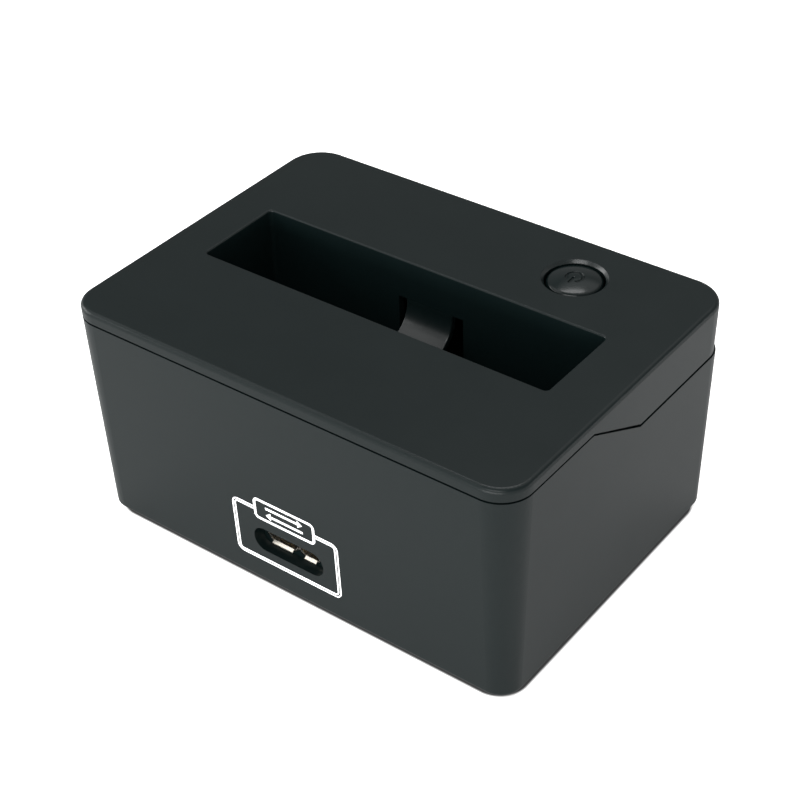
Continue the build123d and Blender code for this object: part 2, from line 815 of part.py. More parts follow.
# Fasteners
with BuildPart() as board_screws:
    with BuildSketch(Plane.XY.offset(board_top)):
        with Locations(*board_screws_at):
            Circle(board_screw_head / 2)
    extrude(amount=board_screw_head_height)
    chamfer(board_screws.edges().group_by(Axis.Z)[-1], part_chamfer)
    with BuildSketch(Plane.XY.offset(board_top)):
        with Locations(*board_screws_at):
            Circle(board_screw_pilot / 2 - thread_clearance)
    extrude(amount=-board_thickness - board_screw_bite)

with BuildPart() as case_screws:
    with BuildSketch(Plane.XY.offset(screw_seat)):
        with Locations(*corners(column_x, column_y)):
            Circle(case_screw_head / 2)
    extrude(amount=-case_screw_head_height)
    chamfer(case_screws.edges().group_by(Axis.Z)[0], part_chamfer)
    with BuildSketch(Plane.XY.offset(screw_seat)):
        with Locations(*corners(column_x, column_y)):
            Circle(case_screw_pilot / 2 - thread_clearance)
    extrude(amount=column_top + boss_gap + case_screw_bite - screw_seat)

# Feet, over the case screws
with BuildPart() as rubber_feet:
    with BuildSketch():
        with Locations(*corners(column_x, column_y)):
            Circle(foot_diameter / 2)
    extrude(amount=foot_proud + foot_recess)
    fillet(rubber_feet.edges().group_by(Axis.Z)[0], foot_edge_radius)

pieces = {
    "base_shell": base_shell,
    "top_cover": top_cover,
    "trim_band": trim_band,
    "drive_clip": drive_clip,
    "power_button": power_button,
    "switch_body": switch_body,
    "switch_plunger": switch_plunger,
    "main_board": main_board,
    "drive_connector_body": drive_connector_body,
    "drive_connector_contacts": drive_connector_contacts,
    "port_shell": port_shell,
    "port_insulator": port_insulator,
    "port_contacts": port_contacts,
    "bridge_chip": bridge_chip,
    "flash_chip": flash_chip,
    "regulator_chip": regulator_chip,
    "power_inductor": power_inductor,
    "crystal_can": crystal_can,
    "ceramic_capacitors": ceramic_capacitors,
    "can_capacitors": can_capacitors,
    "status_lamp": status_lamp,
    "light_guide": light_guide,
    "board_screws": board_screws,
    "case_screws": case_screws,
    "rubber_feet": rubber_feet,
}
os.makedirs("parts", exist_ok=True)
for name, piece in pieces.items():
    piece.part.label = name
    export_step(piece.part, f"parts/{name}.step")
    print(name, len(piece.part.solids()), round(piece.part.volume, 1))
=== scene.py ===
# %% [markdown]
# # A desk dock for one bare drive
#
# The object is a small box of dark grey moulded plastic with a deep slot in its top. This
# lesson dresses its solid model: the solids keep their shapes and get finishes, and the few
# pieces that a solid modeller shows badly, such as a spring that bends out of a wall, a push
# button with an engraved mark and printed lines, are worked out here as surfaces.

import json

import bmesh
import bpy
import numpy as np
from mathutils import Matrix, Vector

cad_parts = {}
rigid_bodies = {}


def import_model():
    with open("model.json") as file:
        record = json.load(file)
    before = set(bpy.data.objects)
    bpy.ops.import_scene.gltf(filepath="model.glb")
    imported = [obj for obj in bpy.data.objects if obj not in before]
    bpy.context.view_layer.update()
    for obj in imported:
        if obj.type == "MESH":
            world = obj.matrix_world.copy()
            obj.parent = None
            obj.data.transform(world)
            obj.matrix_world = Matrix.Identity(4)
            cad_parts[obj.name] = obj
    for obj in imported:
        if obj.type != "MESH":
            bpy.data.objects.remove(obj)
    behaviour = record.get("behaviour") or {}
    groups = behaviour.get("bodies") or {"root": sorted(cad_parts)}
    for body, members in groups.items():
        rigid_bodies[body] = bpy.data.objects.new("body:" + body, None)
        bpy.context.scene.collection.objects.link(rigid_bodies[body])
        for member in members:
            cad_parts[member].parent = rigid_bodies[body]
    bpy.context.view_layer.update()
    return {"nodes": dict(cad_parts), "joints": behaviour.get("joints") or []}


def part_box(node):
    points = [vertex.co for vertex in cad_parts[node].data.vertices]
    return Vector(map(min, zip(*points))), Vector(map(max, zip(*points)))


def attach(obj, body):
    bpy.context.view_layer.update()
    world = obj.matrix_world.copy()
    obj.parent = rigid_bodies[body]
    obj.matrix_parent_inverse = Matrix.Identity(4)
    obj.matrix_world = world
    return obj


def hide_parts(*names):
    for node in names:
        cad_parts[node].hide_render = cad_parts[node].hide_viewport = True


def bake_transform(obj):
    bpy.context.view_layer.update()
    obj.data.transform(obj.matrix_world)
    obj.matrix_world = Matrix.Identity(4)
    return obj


for left_over in list(bpy.data.objects):
    bpy.data.objects.remove(left_over)
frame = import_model()

# %% [markdown]
# ## Units and the sizes that the pieces share
#
# The scene is in metres, but the object is thought of in millimetres, so every size is
# written as a number times `mm`. Places come from the solids' own boxes, so that a piece
# stays on what carries it.

# %% Sizes
mm = 0.001
base_low, base_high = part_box("base_shell")
cover_low, cover_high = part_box("top_cover")
button_low, button_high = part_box("power_button")
finger_low, finger_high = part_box("drive_clip")
table_gap = base_low.z
draft, drafted_height = 1.4 * mm, 46.3 * mm
draft_slope = draft / drafted_height
low_half_width = 33.7 * mm
print("cover top at", round(cover_high.z / mm, 2), "mm, base at", round(table_gap / mm, 2), "mm")


def rear_face(height):
    """Y of the drafted rear wall at a height: it leans out by the draft as it rises."""
    return -low_half_width - draft_slope * (height - table_gap)


# %% [markdown]
# ## The camera
#
# The photograph's camera was worked out from the edges of the housing. Three unit vectors
# say where its right, its top and its view point. A camera looks along its own -Z, so the
# third column of its matrix is the view turned round.

# %% Camera
camera_place = (0.16391, -0.20874, 0.22344)
camera_right = (0.79876, 0.60094, -0.02946)
camera_top = (-0.34204, 0.49382, 0.79947)
camera_view = np.array((-0.49498, 0.62850, -0.59998))
camera_data = bpy.data.cameras.new("camera")
camera_data.sensor_width = 36.0
camera_data.lens = 80.6
camera_data.clip_start = 0.01
camera = bpy.data.objects.new("camera", camera_data)
turn = Matrix((camera_right, camera_top, -camera_view)).transposed().to_4x4()
camera.matrix_world = Matrix.Translation(camera_place) @ turn
bpy.context.scene.collection.objects.link(camera)
bpy.context.scene.camera = camera
print("camera", [round(value / mm, 1) for value in camera.location], "mm")

# %% [markdown]
# ## Floor and light
#
# The dock stands on an opal sheet that is lit from below, so the floor is white and shows
# no shadow. Dark plastic has little colour of its own: most of what the eye sees is the
# sheet and the soft lights, mirrored. The walls mirror the white sheet and look lighter, the
# top mirrors the dim room behind and looks darker. So the room is pale at the horizon and
# dim above it, and six soft panels light what the sheet and the room leave flat: the edges,
# the finger, the bevel round the button and the button's cap.


# %% Floor
def link_mesh(name, vertices, faces):
    """Puts points and faces into a new object that sits at the origin."""
    mesh = bpy.data.meshes.new(name)
    mesh.from_pydata(np.asarray(vertices, float).reshape(-1, 3).tolist(), [], faces)
    mesh.update()
    piece = bpy.data.objects.new(name, mesh)
    bpy.context.scene.collection.objects.link(piece)
    return piece


floor_reach = 8.0
floor = link_mesh(
    "floor",
    [(x * floor_reach, y * floor_reach, 0.0) for x, y in ((-1, -1), (1, -1), (1, 1), (-1, 1))],
    [(0, 1, 2, 3)],
)


# %% Lights
def soft_light(name, place, target, width, height, brightness):
    """A rectangular soft light that faces a target.

    A panel of area A that looks as bright as L sends out L * pi * A watts.
    """
    data = bpy.data.lights.new(name, "AREA")
    data.shape = "RECTANGLE"
    data.size, data.size_y = width, height
    data.energy = brightness * np.pi * width * height
    light = bpy.data.objects.new(name, data)
    away = Vector(place) - Vector(target)
    turn = away.to_track_quat("Z", "Y").to_matrix().to_4x4()
    light.matrix_world = Matrix.Translation(place) @ turn
    bpy.context.scene.collection.objects.link(light)


middle = (0.0, 0.0, 0.02)
soft_light("left_light", (-0.60, -0.17, 0.88), middle, 0.84, 0.45, 2.3)
soft_light("low_left_light", (-1.07, -0.42, 0.42), middle, 0.80, 0.50, 9.0)
soft_light("back_light", (-0.26, 0.39, 1.04), middle, 0.50, 0.17, 12.5)
soft_light("front_light", (0.16, -0.68, 0.86), middle, 0.74, 0.26, 9.5)
soft_light("low_front_light", (0.20, -1.00, 0.16), middle, 1.00, 0.18, 17.0)
soft_light("low_right_light", (0.90, 0.72, 0.16), middle, 0.80, 0.26, 3.2)

# %% [markdown]
# ## Shader maths in words
#
# A finish is a sum of patterns. Written with nodes, `0.4 + 0.1 * noise` takes two Math
# nodes and four links. One small class wraps a socket and gives it Python's arithmetic, and
# one method adds any other node: its settings go in first, then its values and links.


# %% Signals
class Signal:
    """One output of a shader node. Arithmetic on it adds Math nodes to the same tree."""

    def __init__(self, tree, socket):
        self.tree = tree
        self.socket = socket

    def make(self, kind, settings=None, inputs=None, output=0):
        """Adds a node of a kind, with its settings first and then its sockets."""
        node = self.tree.nodes.new("ShaderNode" + kind)
        for name, value in (settings or {}).items():
            if name == "stops":
                for place, shade in value:
                    stop = node.color_ramp.elements.new(place)
                    stop.color = (*shade, 1.0)
                node.color_ramp.elements.remove(node.color_ramp.elements[0])
                node.color_ramp.elements.remove(node.color_ramp.elements[-1])
            else:
                setattr(node, name, value)
        self.plug(node, inputs or {})
        return Signal(self.tree, node.outputs[output])

    def plug(self, node, inputs):
        """Sets or links the sockets of a node."""
        for name, value in inputs.items():
            if isinstance(value, Signal):
                self.tree.links.new(value.socket, node.inputs[name])
            else:
                node.inputs[name].default_value = value

    def math(self, operation, *values):
        """A Math node on the given values."""
        return self.make("Math", {"operation": operation}, dict(enumerate(values)))

    def __add__(self, other):
        return self.math("ADD", self, other)

    def __sub__(self, other):
        return self.math("SUBTRACT", self, other)

    def __rsub__(self, other):
        return self.math("SUBTRACT", other, self)

    def __mul__(self, other):
        return self.math("MULTIPLY", self, other)

    def __truediv__(self, other):
        return self.math("DIVIDE", self, other)

    __radd__ = __add__
    __rmul__ = __mul__

    def parts(self):
        """The X, Y and Z of a vector signal."""
        split = self.make("SeparateXYZ", {}, {0: self})
        return [Signal(self.tree, socket) for socket in split.socket.node.outputs]

    def above(self, edge):
        """1 where the signal is above an edge, else 0."""
        return self.math("GREATER_THAN", self, edge)

    def noise(self, size, detail=2.0, roughness=0.5):
        """Cloudy noise from 0 to 1 with features of about the given size, in metres."""
        levels = {"Scale": 1.0 / size, "Detail": detail, "Roughness": roughness}
        return self.make("TexNoise", {}, {"Vector": self, **levels})

    def blend(self, low, high):
        """A colour that goes from low to high as this signal goes from 0 to 1."""
        colours = {6: low, 7: high, 0: self}
        return self.make("Mix", {"data_type": "RGBA"}, colours, output=2)

    def bump(self, depth):
        """A surface normal raised by this signal times a depth in metres."""
        return self.make("Bump", {}, {"Height": self, "Distance": depth, "Strength": 1.0})


def new_finish(name, fixed):
    """A named material: its shader, its place signal, and the values that never vary."""
    material = bpy.data.materials.new(name)
    material.use_nodes = True
    tree = material.node_tree
    shader = tree.nodes["Principled BSDF"]
    places = Signal(tree, tree.nodes.new("ShaderNodeTexCoord").outputs["Object"])
    places.plug(shader, fixed)
    return material, shader, places


def grey(level):
    """A neutral colour."""
    return (level, level, level, 1.0)


def faded(colour, factor):
    """A colour times a factor, with the alpha that sockets expect."""
    return tuple(factor * channel for channel in colour) + (1.0,)


# %% [markdown]
# ## Moulded plastic
#
# The housing is spark-textured: the mould has a fine even grain, which breaks a reflection
# up without showing as bumps. Two noises make it. A fine one feeds the bump, and a broad
# one moves the roughness and the colour a little, as the flow of the plastic does.


# %% Moulded finishes
flow_size = 9 * mm


def moulded(name, colour, roughness, grain, depth, mottle=0.12, index=1.465, open_share=0.31):
    """Dark plastic with a moulded grain of a given size and depth, in metres.

    The grain's flanks hide a part of what the skin would mirror, so the shader is mixed with
    one of the same colour that mirrors nothing: the open share is what is left.
    """
    material, shader, places = new_finish(name, {"IOR": index})
    broad = places.noise(flow_size, detail=3.0)
    fine = places.noise(grain, detail=2.0, roughness=0.6)
    tint = (0.5 * broad + 0.5 * fine).blend(faded(colour, 1 - mottle), faded(colour, 1 + mottle))
    rough = roughness - 0.05 + 0.06 * broad + 0.04 * fine
    places.plug(shader, {"Base Color": tint, "Roughness": rough, "Normal": fine.bump(depth)})
    matt = {"Base Color": tint, "IOR": 1.0, "Roughness": rough}
    flanks = places.make("BsdfPrincipled", {}, matt)
    open_skin = Signal(places.tree, shader.outputs[0])
    mixed = places.make("MixShader", {}, {0: open_share, 1: flanks, 2: open_skin})
    places.plug(places.tree.nodes["Material Output"], {"Surface": mixed})
    return material


slate = (0.0019, 0.0042, 0.0043)
cover_finish = moulded("cover_plastic", slate, 0.30, 0.22 * mm, 0.002 * mm)
base_finish = moulded("base_plastic", slate, 0.30, 0.20 * mm, 0.002 * mm)
finger_finish = moulded("finger_plastic", slate, 0.30, 0.30 * mm, 0.001 * mm, open_share=0.60)
button_finish = moulded("button_plastic", slate, 0.19, 0.25 * mm, 0.006 * mm, open_share=0.34)
ring_finish = moulded("ring_plastic", slate, 0.28, 0.22 * mm, 0.004 * mm, open_share=0.60)
trim_finish = moulded("trim_plastic", (0.001, 0.001, 0.001), 0.50, 0.40 * mm, 0.002 * mm)
black_finish = moulded("connector_plastic", (0.003, 0.003, 0.003), 0.40, 0.25 * mm, 0.004 * mm)
chip_finish = moulded("chip_plastic", (0.012, 0.012, 0.013), 0.60, 0.12 * mm, 0.006 * mm)
rubber = (0.010, 0.010, 0.010)
rubber_finish = moulded("foot_rubber", rubber, 0.85, 0.35 * mm, 0.012 * mm, index=1.35)
print(len(bpy.data.materials), "materials so far")


# %% [markdown]
# ## Metals, board and clear parts
#
# The receptacle is drawn steel plated with nickel, the contacts are gilt, and both show fine
# streaks along one direction. A streak is a noise whose place is squeezed across it.


# %% Metals
def plated(name, colour, roughness, streak=(1.0, 1.0, 0.08), size=0.15 * mm):
    """Plated metal with fine streaks along the axis whose factor is smallest."""
    material, shader, places = new_finish(name, {"Metallic": 1.0})
    squeezed = places.make("VectorMath", {"operation": "MULTIPLY"}, {0: places, 1: streak})
    lines = squeezed.noise(size, detail=3.0)
    cloud = places.noise(3 * mm)
    places.plug(
        shader,
        {
            "Base Color": (0.6 * lines + 0.4 * cloud).blend(faded(colour, 0.86), faded(colour, 1)),
            "Roughness": roughness - 0.06 + 0.12 * lines,
            "Normal": lines.bump(0.003 * mm),
        },
    )
    return material


nickel_finish = plated("nickel_plate", (0.74, 0.70, 0.62), 0.26, (0.08, 1.0, 1.0))
gilt_finish = plated("gilt_plate", (0.83, 0.62, 0.27), 0.24)
steel_finish = plated("zinc_steel", (0.62, 0.62, 0.63), 0.34, (1.0, 0.2, 1.0))
can_finish = plated("aluminium_can", (0.78, 0.79, 0.80), 0.32)


# %% Board and the rest
row_pitch, column_pitch, track_patch = 0.9 * mm, 1.1 * mm, 14 * mm
row_gap, column_gap = 0.62, 0.66


def board_lacquer():
    """Green lacquer over copper tracks, with tan laminate at the sawn edges.

    A track fills what its gap leaves of each pitch. Patches of rows and of columns alternate.
    """
    material, shader, places = new_finish("board_lacquer", {"IOR": 1.5})
    across, along, _ = places.parts()
    rows = along.math("FRACT", along / row_pitch).above(row_gap)
    columns = across.math("FRACT", across / column_pitch).above(column_gap)
    patches = places.noise(track_patch, detail=0.0).above(0.5)
    tracks = patches * rows + (1 - patches) * columns
    facing = places.make("NewGeometry", {}, {}, output=1)
    upright = facing.parts()[2]
    flat = upright.math("ABSOLUTE", upright).above(0.5)
    green = tracks.blend((0.006, 0.060, 0.028, 1.0), (0.014, 0.115, 0.052, 1.0))
    laminate = (0.32, 0.28, 0.14, 1.0)
    places.plug(
        shader,
        {
            "Base Color": flat.blend(laminate, green),
            "Roughness": 0.62 - 0.34 * flat,
            "Normal": tracks.bump(0.03 * mm),
        },
    )
    return material


def fired_clay():
    """Tan ceramic body, as small chip capacitors have."""
    material, shader, places = new_finish("capacitor_ceramic", {})
    cloud = places.noise(0.6 * mm)
    colour = cloud.blend((0.30, 0.20, 0.11, 1.0), (0.40, 0.28, 0.16, 1.0))
    rough = 0.35 + 0.2 * cloud
    bumps = cloud.bump(0.01 * mm)
    places.plug(shader, {"Base Color": colour, "Roughness": rough, "Normal": bumps})
    return material


def clear_rod():
    """Moulded clear plastic with faint flow lines."""
    clear = {"Transmission Weight": 0.9, "IOR": 1.49, "Base Color": (0.93, 0.96, 1, 1)}
    material, shader, places = new_finish("clear_plastic", clear)
    flow = places.noise(1.2 * mm)
    places.plug(shader, {"Roughness": 0.12 + 0.12 * flow, "Normal": flow.bump(0.01 * mm)})
    return material


def lamp_resin():
    """Milky resin of a lamp that is switched off."""
    material, shader, places = new_finish("lamp_resin", {"IOR": 1.5})
    cloud = places.noise(0.8 * mm)
    colour = cloud.blend((0.62, 0.64, 0.60, 1.0), (0.78, 0.80, 0.76, 1.0))
    rough = 0.2 + 0.1 * cloud
    bumps = cloud.bump(0.004 * mm)
    places.plug(shader, {"Base Color": colour, "Roughness": rough, "Normal": bumps})
    return material


def white_ink():
    """Screen-printed white ink: nearly even, with a dry grain."""
    material, shader, places = new_finish("white_ink", {"IOR": 1.45})
    grain = places.noise(0.12 * mm, detail=3.0)
    colour = grain.blend((0.78, 0.79, 0.80, 1.0), (0.92, 0.93, 0.94, 1.0))
    rough = 0.5 + 0.2 * grain
    bumps = grain.bump(0.004 * mm)
    places.plug(shader, {"Base Color": colour, "Roughness": rough, "Normal": bumps})
    return material


# Size, corner radius and soft edge of a painted shadow on the floor under the dock.
painted_shadow_reach, painted_shadow_corner, painted_shadow_fade = (46.7 * mm, 33.4 * mm), 6.0 * mm, 0.5 * mm


def opal_sheet_and_painted_shadow():
    """The floor: an opal sheet lit from below, with a dark patch that the dock covers.

    The patch is a painted shadow: a rounded rectangle about as large as the dock's foot, with
    the sheet's colour and glow made about as dark as the dock's wall, so that the 1 mm gap over
    the feet doesn't shine. Its outline is a distance: how far a point lies beyond the corners'
    centres, less the corners' radius.
    """
    material, shader, places = new_finish("opal_sheet_and_painted_shadow", {"Emission Strength": 0.42, "IOR": 1.2})
    squares = []
    for along, reach in zip(places.parts(), painted_shadow_reach):
        beyond = along.math("ABSOLUTE", along) - (reach - painted_shadow_corner)
        beyond = beyond.math("MAXIMUM", beyond, 0.0)
        squares.append(beyond * beyond)
    total = squares[0] + squares[1]
    outside = total.math("SQRT", total) - painted_shadow_corner
    # Painted shadow: 0 under the dock and 1 on the open sheet; inside it the sheet's colour and
    # glow drop to near black.
    lit = outside.make("MapRange", {}, {0: outside, 1: -painted_shadow_fade, 2: 0.0, 3: 0.0, 4: 1.0})
    cloud = places.noise(0.3)
    colour = lit.blend(grey(0.02), cloud.blend(grey(0.78), grey(0.82)))
    rough = 0.8 + 0.1 * cloud
    glow = lit.blend(grey(0.08), grey(1.0))
    places.plug(shader, {"Base Color": colour, "Roughness": rough, "Emission Color": glow})
    return material


board_finish = board_lacquer()
ceramic_finish = fired_clay()
clear_finish = clear_rod()
lamp_finish = lamp_resin()
ink_finish = white_ink()
floor.data.materials.append(opal_sheet_and_painted_shadow())

# %% [markdown]
# ## Finishes on the solids
#
# Every solid keeps its shape and takes the finish of its real material.

# %% Dressing the solids
node_finishes = {
    "top_cover": cover_finish,
    "base_shell": base_finish,
    "trim_band": trim_finish,
    "drive_clip": finger_finish,
    "power_button": button_finish,
    "switch_body": black_finish,
    "switch_plunger": black_finish,
    "main_board": board_finish,
    "drive_connector_body": black_finish,
    "drive_connector_contacts": gilt_finish,
    "port_shell": nickel_finish,
    "port_insulator": black_finish,
    "port_contacts": gilt_finish,
    "bridge_chip": chip_finish,
    "flash_chip": chip_finish,
    "regulator_chip": chip_finish,
    "power_inductor": chip_finish,
    "crystal_can": nickel_finish,
    "ceramic_capacitors": ceramic_finish,
    "can_capacitors": can_finish,
    "status_lamp": lamp_finish,
    "light_guide": clear_finish,
    "board_screws": steel_finish,
    "case_screws": steel_finish,
    "rubber_feet": rubber_finish,
}
for name, finish in node_finishes.items():
    slots = frame["nodes"][name].data.materials
    slots.clear()
    slots.append(finish)
print("dressed", len(node_finishes), "of", len(frame["nodes"]), "nodes")

# %% [markdown]
# ## Surfaces from arrays
#
# A new piece is a grid of points: rows along one parameter, columns along another. Once the
# points are an array, the faces are arithmetic on their numbers. `skin` does that for every
# piece: it closes the grid into a tube, and then the tube into a loop or with caps.


# %% Grid to mesh
def skin(name, grid, loop=False, capped=True):
    """Makes a tube from a (rows, columns, 3) grid.

    Face (i, j) joins point (i, j) to its neighbours at i + 1 and j + 1, and the last column
    meets the first. A loop joins the last row to the first, and caps close the tube's ends.
    """
    rows, columns = grid.shape[:2]
    number = np.arange(rows * columns).reshape(rows, columns)
    number = np.hstack([number, number[:, :1]])
    if loop:
        number = np.vstack([number, number[:1]])
    corners = [number[:-1, :-1], number[:-1, 1:], number[1:, 1:], number[1:, :-1]]
    faces = np.stack(corners, axis=-1).reshape(-1, 4).tolist()
    if capped and not loop:
        faces.append(np.arange(columns)[::-1].tolist())
        faces.append((np.arange(columns) + (rows - 1) * columns).tolist())
    return link_mesh(name, grid, faces)


def tidy(piece, finish, body, sharp=40.0, ridden=True):
    """Merges doubled points, turns the faces outwards, smooths it, dresses it and seats it."""
    work = bmesh.new()
    work.from_mesh(piece.data)
    bmesh.ops.remove_doubles(work, verts=work.verts, dist=1e-7)
    bmesh.ops.recalc_face_normals(work, faces=work.faces)
    work.to_mesh(piece.data)
    work.free()
    piece.data.polygons.foreach_set("use_smooth", np.ones(len(piece.data.polygons), bool))
    piece.data.set_sharp_from_angle(angle=np.radians(sharp))
    piece.data.materials.append(finish)
    if ridden:
        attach(piece, body)
    print(piece.name, len(piece.data.polygons), "faces")
    return piece


def carry(section, path, outward):
    """Carries a section along a path: point = path + side * s + outward * t.

    The section is (columns, 2) or (rows, columns, 2). The side is the path's direction
    crossed with outward, worked out by differences along the path.
    """
    path = np.asarray(path, float)
    outward = np.broadcast_to(np.asarray(outward, float), path.shape)
    ahead = np.gradient(path, axis=0)
    ahead /= np.linalg.norm(ahead, axis=1, keepdims=True)
    side = np.cross(ahead, outward)
    side /= np.linalg.norm(side, axis=1, keepdims=True)
    section = np.broadcast_to(section, (len(path), *np.shape(section)[-2:]))
    sideways = section[:, :, :1] * side[:, None, :]
    return path[:, None, :] + sideways + section[:, :, 1:] * outward[:, None, :]


def rounded_rectangle(length, width, corner, steps=6):
    """Points round a rectangle with round corners, anticlockwise, centred on zero.

    Each corner is an arc of a quarter turn about a point set in from it by the radius.
    """
    quarter = np.linspace(0, np.pi / 2, steps)
    turns = (np.arange(4) * np.pi / 2)[:, None] + quarter
    signs = np.array([(1, 1), (-1, 1), (-1, -1), (1, -1)])
    centres = signs * np.array([length / 2 - corner, width / 2 - corner])
    arcs = centres[:, None, :] + corner * np.stack([np.cos(turns), np.sin(turns)], axis=-1)
    return arcs.reshape(-1, 2)


def spun(radius, height, centre, columns):
    """Spins a profile of radii and heights about an upright axis, into a grid of points."""
    turn = np.linspace(0, 2 * np.pi, columns, endpoint=False)
    x = centre[0] + radius[:, None] * np.cos(turn)
    y = centre[1] + radius[:, None] * np.sin(turn)
    return np.stack([x, y, np.broadcast_to(height[:, None], x.shape)], axis=-1)


# %% [markdown]
# ## The spring finger
#
# On the real dock the finger is a tongue of the well's own wall, cut free on three sides. It
# starts flush in the wall, bows into the slot and turns back at its tip. A section with
# rounded edges is carried down a path of straights and arcs.

# %% Finger
finger_thickness = 1.4 * mm
finger_width = finger_high.x - finger_low.x
finger_middle = (finger_high.x + finger_low.x) / 2
hinge = next(joint for joint in frame["joints"] if joint["name"] == "finger_flex")
hinge_y, hinge_z = hinge["pos_m"][1], hinge["pos_m"][2]
bend_radius, bend_turn = 6.0 * mm, np.radians(52.0)
ramp_length = 5.8 * mm
nose_radius, nose_turn = 3.0 * mm, np.radians(112.0)
root_height = 1.25 * mm
finger_corner = 0.28 * mm
wall_run, wall_share = 0.5 * mm, 0.95
thinnest_tip = 0.02


def finger_path():
    """Down the wall, round the bend, down the ramp and back round the nose.

    A bend is centre + radius * (cos, sin) of a turning angle, in the plane of Y and Z.
    """
    root = np.stack([np.zeros(8), np.linspace(root_height, 0, 8, endpoint=False)], axis=1)
    turn = np.linspace(0, bend_turn, 28)
    bend = np.stack([-bend_radius * (1 - np.cos(turn)), -bend_radius * np.sin(turn)], axis=1)
    heading = np.array([-np.sin(bend_turn), -np.cos(bend_turn)])
    ramp = bend[-1] + np.linspace(0, ramp_length, 16)[1:, None] * heading
    centre = ramp[-1] + nose_radius * np.array([np.cos(bend_turn), -np.sin(bend_turn)])
    turn = np.linspace(0, nose_turn, 40)[1:]
    swing = np.pi - bend_turn + turn
    nose = centre + nose_radius * np.stack([np.cos(swing), np.sin(swing)], axis=1)
    flat = np.concatenate([root, bend, ramp, nose]) + (hinge_y, hinge_z)
    return np.column_stack([np.full(len(flat), finger_middle), flat])


def finger_piece():
    """The section across the path, thinned in the wall and rounded off at the tip."""
    path = finger_path()
    ahead = np.gradient(path, axis=0)
    ahead /= np.linalg.norm(ahead, axis=1, keepdims=True)
    outward = np.cross((1.0, 0.0, 0.0), ahead)
    section = rounded_rectangle(finger_width, finger_thickness, finger_corner)
    run = np.concatenate([[0], np.cumsum(np.linalg.norm(np.diff(path, axis=0), axis=1))])
    left = (run[-1] - run) / (finger_thickness / 2)
    tip = np.sqrt(np.clip(1 - (1 - np.clip(left, 0, 1)) ** 2, thinnest_tip**2, 1))
    inside_wall = np.where(run < wall_run, wall_share, 1.0)
    scale = np.stack([np.ones_like(run), tip * inside_wall], axis=1)
    grid = carry(section * scale[:, None, :], path, outward)
    return skin("spring_finger", grid)


finger = tidy(finger_piece(), finger_finish, "finger", ridden=False)
hinge_z + 0.7 * mm
hinge_z - 2.2 * mm
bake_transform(finger)
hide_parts("drive_clip")

# %% [markdown]
# ## The power button
#
# The cap is turned about its own axis, so it is a profile of radius and height, spun. The
# power mark is engraved: near the middle the height is lowered by a smooth step of the
# distance to the mark's centre line, which is an open ring and a bar. The bevel round the
# bore is spun in the same way.

# %% Button
button_middle = np.array([button_low.x + button_high.x, button_low.y + button_high.y]) / 2
cap_radius = 5.25 * mm
cap_sink = 0.6 * mm
cap_rim = cover_high.z - cap_sink
cap_dome = 0.9 * mm
cap_edge = 1.0 * mm
cap_wall = 1.3 * mm
collar_radius = (button_high.x - button_low.x) / 2
stem_reach, collar_thickness = 25.2 * mm, 1.2 * mm
collar_low = button_low.z + stem_reach
collar_high = collar_low + collar_thickness
mark_radius, mark_width, mark_depth = 1.52 * mm, 0.50 * mm, 0.30 * mm
mark_gap = np.radians(42.0)
bar_end, bar_start = -1.90 * mm, -0.30 * mm
mark_slope, mark_reach = 0.14 * mm, 2.6 * mm
stem_arm, stem_rib, stem_pad_height, pad_ease = 2.2 * mm, 0.6 * mm, 1.2 * mm, 0.2 * mm
recess_radius, ring_bevel, ring_ease = 6.15 * mm, 0.55 * mm, 0.12 * mm
ring_sink, ring_depth = 0.02 * mm, 1.1 * mm
print("button middle in mm", np.round(button_middle / mm, 2))


def mark_distance(x, y):
    """Distance to the mark's centre line: an arc open towards -Y, and a bar through its gap."""
    angle = np.abs(np.arctan2(x, -y))
    ends = mark_radius * np.array([np.sin(mark_gap), -np.cos(mark_gap)])
    to_arc = np.abs(np.hypot(x, y) - mark_radius)
    to_end = np.hypot(np.abs(x) - ends[0], y - ends[1])
    ring = np.where(angle > mark_gap, to_arc, to_end)
    along = np.clip(y, bar_end, bar_start)
    return np.minimum(ring, np.hypot(x, y - along))


def button_cap():
    """The dome with its mark, a rounded edge, the skirt and the collar, spun a full turn.

    The edge is an arc that touches the dome's sphere and the skirt: its centre stands one
    edge radius in from both.
    """
    sphere = (cap_radius**2 + cap_dome**2) / (2 * cap_dome)
    sphere_z = cap_rim + cap_dome - sphere
    edge_middle = cap_radius - cap_edge
    rise = np.sqrt((sphere - cap_edge) ** 2 - edge_middle**2)
    swing = np.linspace(np.arctan2(rise, edge_middle), 0, 12)
    fine = np.linspace(0, mark_reach, 64)
    dome = np.concatenate([fine, np.linspace(mark_reach, sphere * np.cos(swing[0]), 12)[1:-1]])
    edge_r = edge_middle + cap_edge * np.cos(swing)
    edge_z = sphere_z + rise + cap_edge * np.sin(swing)
    wall_r = [cap_radius, collar_radius, collar_radius, cap_radius - cap_wall]
    wall_z = [collar_high, collar_high, collar_low, collar_low]
    inner_r = [cap_radius - cap_wall, 0.0]
    inner_z = [cap_rim - cap_wall, cap_rim - cap_wall]
    radius = np.concatenate([dome, edge_r, wall_r, inner_r])
    dome_z = sphere_z + np.sqrt(sphere**2 - dome**2)
    height = np.concatenate([dome_z, edge_z, wall_z, inner_z])
    grid = spun(radius, height, button_middle, 240)
    x, y = grid[..., 0] - button_middle[0], grid[..., 1] - button_middle[1]
    step = np.clip((mark_distance(x, y) - mark_width / 2) / mark_slope + 0.5, 0, 1)
    carved = mark_depth * (1 - step * step * (3 - 2 * step))
    grid[: len(dome), :, 2] -= carved[: len(dome)]
    return skin("button_cap", grid, capped=False)


